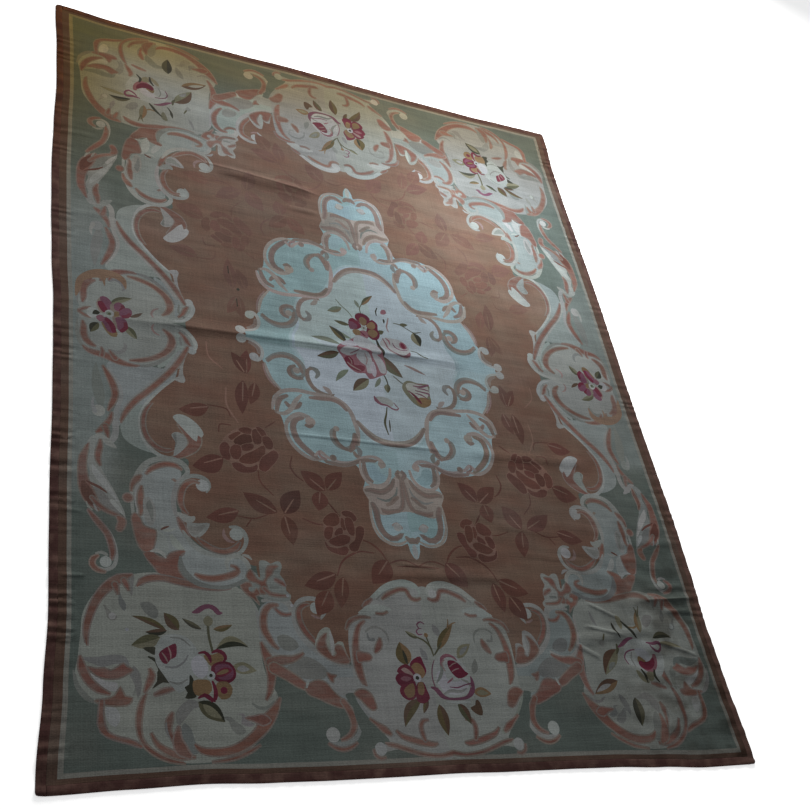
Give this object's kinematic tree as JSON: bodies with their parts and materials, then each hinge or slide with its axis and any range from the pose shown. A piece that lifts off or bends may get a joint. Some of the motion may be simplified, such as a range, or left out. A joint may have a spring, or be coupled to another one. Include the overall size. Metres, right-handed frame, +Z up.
{
  "type": "aubusson rug",
  "caption": "Flat tapestry-woven room rug with a floral medallion, scrolled border and sewn dark edge binding, lying flat with low storage creases.",
  "frame": {"origin": "centre of the rug's outline on the floor, under the middle of the medallion", "axes": "+Z up out of the face side, +Y along the length towards the head end, +X across to the right"},
  "size_m": [1.871, 2.486, 0.009],
  "materials": {
    "tapestry_wool": "flat-woven wool with a fine cross rib, matte, faded rose, cream, sage and light blue",
    "binding_tape": "dark maroon-brown woven tape, matte, puckered along its seam"
  },
  "bodies": {
    "root": {"woven_panel": "tapestry_wool", "binding_left": "binding_tape", "binding_right": "binding_tape", "binding_foot": "binding_tape", "binding_head": "binding_tape"}
  },
  "joints": []
}
